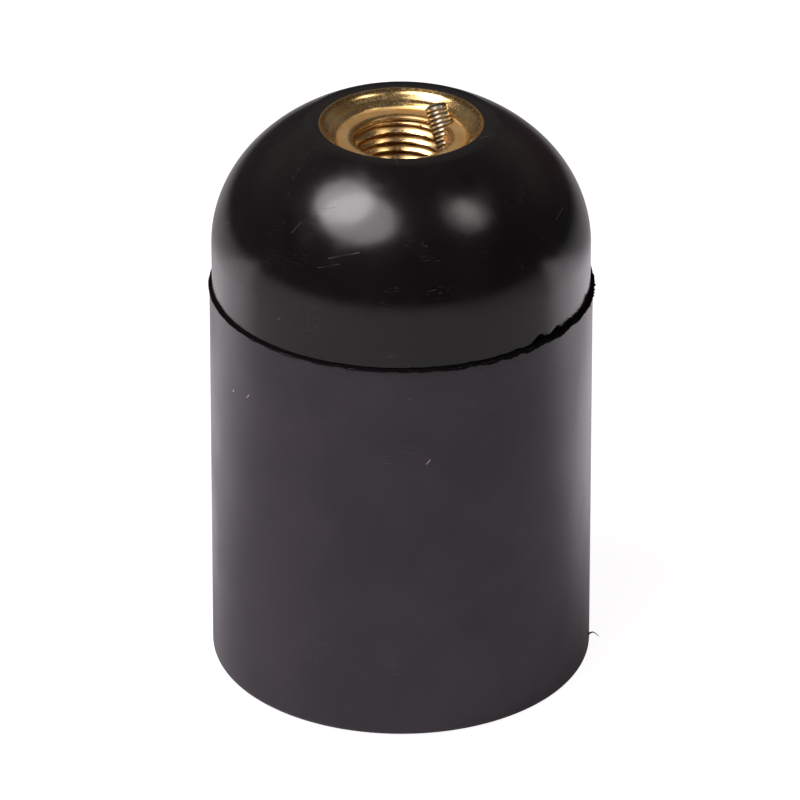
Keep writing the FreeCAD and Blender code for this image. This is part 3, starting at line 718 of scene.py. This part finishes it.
def skirt_material():
    material, tree, shader = new_material("skirt_bakelite")
    place = millimetres(tree)
    rubs = scratches(tree, place, (0, 90, 0), 0.58, 0.012, (13, 2, 5))
    cross = scratches(tree, place, (0, 40, 60), 0.63, 0.008, (2, 31, 9))
    marks = maths(tree, "MULTIPLY", maths(tree, "ADD", rubs, cross), 0.6)
    placed = strongest(
        tree,
        spot(tree, place, on_skirt(-60, 34.7), 0.16),
        stroke(tree, place, on_skirt(-52.5, 35.1), on_skirt(-51.5, 35.5), 0.08),
        stroke(tree, place, on_skirt(7.5, 31.6), on_skirt(8.5, 32.0), 0.08),
    )
    dust = strongest(tree, specks(tree, place, 1.6, 0.10, 0.03, (4, 1, 8)), placed)
    tone = plastic_tone(tree, place, (0.026, 0.020, 0.027), (0.038, 0.029, 0.038), dust, marks)
    # Painted shade: the fin and a narrow band at the seam are darkened nearly to black and given little shine.
    # This stands in for the shade in the gap between cap and skirt; the fin's raw, rough edge is real.
    raw_fin_and_seam_shade = ramp(tree, from_axis(tree, place), (SKIRT_R + 0.005 * MM) / MM, (SKIRT_R + 0.05 * MM) / MM)
    height, seam = height_of(tree, place), SEAM_Z / MM
    raw_fin_and_seam_shade = maths(tree, "MULTIPLY", raw_fin_and_seam_shade, ramp(tree, height, seam - 1.6, seam - 1.1))
    above_wall = ramp(tree, height, seam - 0.16, seam - 0.08)
    below_thread = ramp(tree, height, seam + 0.35, seam + 0.5, 1.0, 0.0)
    seam_band_raw_and_shade = maths(tree, "MULTIPLY", above_wall, below_thread)
    raw_fin_and_seam_shade = strongest(tree, raw_fin_and_seam_shade, seam_band_raw_and_shade)
    tone = mixed(tree, raw_fin_and_seam_shade, tone, colour(0.003, 0.0025, 0.003))
    tree.links.new(tone, shader.inputs["Base Color"])
    wiped = stretched(tree, place, (0, 0, 15), (0.10, 0.10, 0.05))
    haze = ramp(tree, noise_of(tree, wiped, 1.0, 4), 0.38, 0.66)
    rough = ramp(tree, haze, 0, 1, 0.33, 0.41, smooth=False)
    rough = maths(tree, "ADD", rough, maths(tree, "MULTIPLY", marks, 0.15))
    rough = maths(tree, "ADD", rough, maths(tree, "MULTIPLY", raw_fin_and_seam_shade, 0.35))
    tree.links.new(rough, shader.inputs["Roughness"])
    tree.links.new(ramp(tree, raw_fin_and_seam_shade, 0.0, 1.0, 0.5, 0.06), shader.inputs["Specular IOR Level"])
    shader.inputs["IOR"].default_value = 1.55
    wavy = noise_of(tree, place, 0.22, 2)
    grain = noise_of(tree, place, 5.0, 3)
    bump(tree, shader, (wavy, 0.25, 0.05 * MM), (grain, 0.35, 0.006 * MM), (marks, -0.4, 0.010 * MM),
         (dust, 1.0, 0.02 * MM))
    return material


# ---- metals ----
def metal(name, tones, dark, rough, stain, groove_mask=None, turned=0.0, brushed=0.0, matte_mask=None):
    """Metal with clouded colour, stains, darkened grooves and fine turning or brushing marks."""
    material, tree, shader = new_material(name)
    place = millimetres(tree)
    shader.inputs["Metallic"].default_value = 1.0
    cloud = ramp(tree, noise_of(tree, place, 0.45, 4), 0.35, 0.65)
    tone = mixed(tree, cloud, colour(*tones[0]), colour(*tones[1]))
    blotch = ramp(tree, noise_of(tree, place, 0.9, 5, 0.65), 0.52, 0.72)
    specked = specks(tree, place, 0.6, 0.10, 0.12, (5, 2, 9))
    stains_and_darkening = strongest(tree, maths(tree, "MULTIPLY", blotch, stain), maths(tree, "MULTIPLY", specked, 0.35))
    if groove_mask:
        stains_and_darkening = strongest(tree, stains_and_darkening, groove_mask(tree, place))
    tone = mixed(tree, stains_and_darkening, tone, colour(*dark))
    tree.links.new(tone, shader.inputs["Base Color"])
    fine = noise_of(tree, place, 3.5, 4)
    roughness = ramp(tree, fine, 0.3, 0.7, rough[0], rough[1], smooth=False)
    roughness = maths(tree, "ADD", roughness, maths(tree, "MULTIPLY", stains_and_darkening, 0.22))
    if matte_mask:
        roughness = maths(tree, "ADD", roughness, maths(tree, "MULTIPLY", matte_mask(tree, place), 0.30))
    tree.links.new(roughness, shader.inputs["Roughness"])
    layers = [(noise_of(tree, place, 1.4, 2), 0.20, 0.008 * MM), (stains_and_darkening, -0.2, 0.004 * MM)]
    if turned:
        radius, height = from_axis(tree, place), height_of(tree, place)
        lathe_line = add(tree, "ShaderNodeCombineXYZ", {0: radius, 1: height, 2: 0.0}).outputs[0]
        layers.append((noise_of(tree, lathe_line, 9.0, 3, 0.7), turned, 0.008 * MM))
    if brushed:
        along = stretched(tree, place, (0, 0, 35), (0.6, 9.0, 9.0))
        layers.append((noise_of(tree, along, 1.6, 3), brushed, 0.006 * MM))
    bump(tree, shader, *layers)
    return material


def thread_root_darkening(tree, place):
    """Darker brown at the roots of the entry's thread and down its bore."""
    radius = from_axis(tree, place)
    root = maths(tree, "MULTIPLY", ramp(tree, radius, 4.62, 4.94), ramp(tree, radius, 5.0, 5.25, 1.0, 0.0))
    return maths(tree, "MULTIPLY", root, 0.75)


def recess_floor(tree, place):
    """The flat floor of the entry's recess, left dull by the cutter."""
    wide = ramp(tree, from_axis(tree, place), 5.2, 5.5)
    height, floor = height_of(tree, place), RECESS_FLOOR_Z / MM
    low = ramp(tree, height, floor + 0.10, floor + 0.20, 1.0, 0.0)
    high = ramp(tree, height, floor - 0.20, floor - 0.10)
    return maths(tree, "MULTIPLY", wide, maths(tree, "MULTIPLY", low, high))


def screw_end_and_root_darkening(tree, place):
    """Darker outer end of the locking screw and darker roots of its thread."""
    axis, top = lock_frame()
    from_top = vectors(tree, "SUBTRACT", place, top / MM)
    along = dot_product(tree, from_top, axis)
    out = apart(tree, from_top, scaled(tree, axis, along))
    root = ramp(tree, out, 1.08, 1.17, 0.8, 0.0)
    end = ramp(tree, along, -0.62, -0.36, 0.0, 0.9)
    return strongest(tree, root, end)


def porcelain_material():
    material, tree, shader = new_material("porcelain")
    place = millimetres(tree)
    cloud = ramp(tree, noise_of(tree, place, 0.2, 4), 0.3, 0.7)
    tone = mixed(tree, cloud, colour(0.80, 0.77, 0.70), colour(0.88, 0.86, 0.81))
    iron = specks(tree, place, 1.4, 0.09, 0.10, (3, 6, 1))
    tone = mixed(tree, iron, tone, colour(0.22, 0.14, 0.08))
    tree.links.new(tone, shader.inputs["Base Color"])
    glaze = ramp(tree, noise_of(tree, place, 1.2, 3), 0.3, 0.7, 0.14, 0.30, smooth=False)
    tree.links.new(glaze, shader.inputs["Roughness"])
    shader.inputs["Coat Weight"].default_value = 0.4
    shader.inputs["Coat Roughness"].default_value = 0.08
    wavy, grain = noise_of(tree, place, 0.6, 3), noise_of(tree, place, 6.0, 2)
    bump(tree, shader, (wavy, 0.35, 0.05 * MM), (grain, 0.2, 0.006 * MM))
    return material


def make_materials():
    return {
        "cap_bakelite": cap_material(),
        "skirt_bakelite": skirt_material(),
        "brass_turned": metal(
            "brass_turned",
            tones=((0.86, 0.56, 0.22), (0.92, 0.66, 0.31)),
            dark=(0.22, 0.085, 0.025),
            rough=(0.16, 0.30),
            stain=0.28,
            groove_mask=thread_root_darkening,
            turned=0.45,
            matte_mask=recess_floor,
        ),
        "rolled_brass": metal(
            "rolled_brass",
            tones=((0.72, 0.55, 0.26), (0.80, 0.64, 0.34)),
            dark=(0.30, 0.17, 0.07),
            rough=(0.20, 0.34),
            stain=0.35,
            brushed=0.35,
        ),
        "spring_bronze": metal(
            "spring_bronze",
            tones=((0.66, 0.42, 0.22), (0.74, 0.50, 0.28)),
            dark=(0.24, 0.11, 0.05),
            rough=(0.22, 0.34),
            stain=0.35,
            brushed=0.4,
        ),
        "worn_steel": metal(
            "worn_steel",
            tones=((0.66, 0.55, 0.40), (0.80, 0.70, 0.54)),
            dark=(0.085, 0.090, 0.065),
            rough=(0.22, 0.36),
            stain=0.3,
            groove_mask=screw_end_and_root_darkening,
        ),
        "plated_steel": metal(
            "plated_steel",
            tones=((0.60, 0.60, 0.58), (0.70, 0.70, 0.67)),
            dark=(0.26, 0.24, 0.20),
            rough=(0.20, 0.34),
            stain=0.3,
            brushed=0.3,
        ),
        "porcelain": porcelain_material(),
    }


# ---- materials on the pieces ----
def assign(materials):
    """Gives every piece and every CAD node the material of its slot."""
    slots = {
        "skirt_shell": "skirt_bakelite",
        "seam_flash": "skirt_bakelite",
        "moulding_burr": "skirt_bakelite",
        "domed_cap": "cap_bakelite",
        "driving_lugs": "cap_bakelite",
        "brass_entry": "brass_turned",
        "grub_screw": "worn_steel",
    }
    for name, slot in slots.items():
        bpy.data.objects[name].data.materials.clear()
        bpy.data.objects[name].data.materials.append(materials[slot])
    for entry in frame["record"]["subparts"]:
        node = frame["nodes"][entry["node"]]
        node.data.materials.clear()
        node.data.materials.append(materials[entry["material_slot"]])


build_skirt()
build_flash()
build_burr()
build_cap()
build_lugs()
build_insert()
build_lock_screw()
assign(make_materials())


# ---- floor, camera and light ----
def build_floor():
    """Floor that the camera sees near white, with a faint shadow, and sees through from below.

    Other rays meet a grey floor with a painted glow behind the object, brighter to its right.
    """
    corners = [(x * FLOOR_HALF, y * FLOOR_HALF, FLOOR_Z) for x, y in ((-1, -1), (1, -1), (1, 1), (-1, 1))]
    floor = piece("floor", corners, [(0, 1, 2, 3)])
    material, tree, shader = new_material("floor")
    shader.inputs["Roughness"].default_value = 0.9
    shader.inputs["Specular IOR Level"].default_value = 0.1
    glow = add(tree, "ShaderNodeEmission", {"Color": colour(1, 0.985, 1), "Strength": 0.94})
    lit = add(tree, "ShaderNodeBsdfDiffuse", {"Color": colour(0.30, 0.30, 0.30)})
    pale = add(tree, "ShaderNodeAddShader", {0: glow.outputs[0], 1: lit.outputs[0]})
    place = add(tree, "ShaderNodeSeparateXYZ", {0: millimetres(tree)}).outputs
    far = ramp(tree, from_axis(tree, millimetres(tree)), 150.0, 700.0)
    tone = mixed(tree, far, colour(0.66, 0.65, 0.67), colour(0.10, 0.10, 0.10))
    tree.links.new(tone, shader.inputs["Base Color"])
    # Painted light: a glowing patch on the floor behind the object, stronger to its right, which other rays see in
    # place of light off a backdrop.
    near_edge, far_edge = ramp(tree, place[1], -8.0, 30.0), ramp(tree, place[1], 55.0, 105.0, 1.0, 0.0)
    behind = maths(tree, "MULTIPLY", near_edge, far_edge)
    level = maths(tree, "MULTIPLY", behind, ramp(tree, place[0], 0.0, 40.0, 0.64, 0.84))
    room = add(tree, "ShaderNodeEmission", {"Color": colour(1, 0.95, 1), "Strength": level})
    plain = add(tree, "ShaderNodeAddShader", {0: shader.outputs[0], 1: room.outputs[0]})
    seen = add(tree, "ShaderNodeLightPath").outputs["Is Camera Ray"]
    both = add(tree, "ShaderNodeMixShader", {"Fac": seen, 1: plain.outputs[0], 2: pale.outputs[0]})
    under = add(tree, "ShaderNodeNewGeometry").outputs["Backfacing"]
    clear = add(tree, "ShaderNodeBsdfTransparent").outputs[0]
    open_below = add(tree, "ShaderNodeMixShader", {"Fac": under, 1: both.outputs[0], 2: clear})
    tree.links.new(open_below.outputs[0], tree.nodes["Material Output"].inputs[0])
    floor.data.materials.append(material)


def build_camera():
    middle = Vector((0, 0, TOP_Z / 2))
    back = Vector((0, -math.cos(CAMERA_ELEVATION), math.sin(CAMERA_ELEVATION)))
    camera = bpy.data.cameras.new("camera")
    camera.lens = CAMERA_LENS_MM
    camera.sensor_width = 36
    camera.clip_end = 50
    obj = bpy.data.objects.new("camera", camera)
    bpy.context.collection.objects.link(obj)
    obj.location = middle + CAMERA_DISTANCE * back
    obj.rotation_euler = (CAMERA_AIM - obj.location).to_track_quat("-Z", "Y").to_euler()
    bpy.context.scene.camera = obj


def soft_disc(name, azimuth_deg, elevation_deg, distance, width, height, radiance, tint):
    """Elliptical studio light that faces the object; azimuth as in on_cap, lengths in metres."""
    turn, rise = math.radians(azimuth_deg - 90), math.radians(elevation_deg)
    lamp = bpy.data.lights.new(name, "AREA")
    lamp.shape = "ELLIPSE"
    lamp.size, lamp.size_y = width, height
    lamp.energy = radiance * math.pi * math.pi / 4 * width * height
    lamp.color = tint
    obj = bpy.data.objects.new(name, lamp)
    bpy.context.collection.objects.link(obj)
    reach = Vector((math.cos(turn) * math.cos(rise), math.sin(turn) * math.cos(rise), math.sin(rise)))
    aim = Vector((0, 0, 0.75 * TOP_Z))
    obj.location = aim + reach * distance
    obj.rotation_euler = (aim - obj.location).to_track_quat("-Z", "Y").to_euler()


def build_world():
    """White to the camera; to other rays a dim room, lighter high up behind the object."""
    world = bpy.data.worlds.new("studio")
    bpy.context.scene.world = world
    world.use_nodes = True
    tree = world.node_tree
    way = add(tree, "ShaderNodeTexCoord").outputs["Generated"]
    parts = add(tree, "ShaderNodeSeparateXYZ", {0: way}).outputs
    behind = maths(tree, "MULTIPLY", ramp(tree, parts[1], 0.15, 0.75), ramp(tree, parts[2], 0.12, 0.42))
    room = mixed(tree, behind, colour(0.045, 0.041, 0.046), colour(0.14, 0.125, 0.12))
    seen = mixed(tree, add(tree, "ShaderNodeLightPath").outputs["Is Camera Ray"], room, colour(1, 1, 1))
    tree.links.new(seen, tree.nodes["Background"].inputs[0])


build_floor()
build_camera()
soft_disc("left_light", -74, 61, 0.60, 0.32, 0.31, 6.6, COOL_WHITE)
soft_disc("left_halo", -45, 59, 0.62, 0.46, 0.38, 4.6, COOL_WHITE)
soft_disc("right_light", 69, 54, 0.75, 0.17, 0.20, 2.3, WARM_WHITE)
soft_disc("right_halo", 67, 54, 0.77, 0.28, 0.32, 1.7, WARM_WHITE)
build_world()
bpy.context.scene.view_settings.view_transform = "Standard"
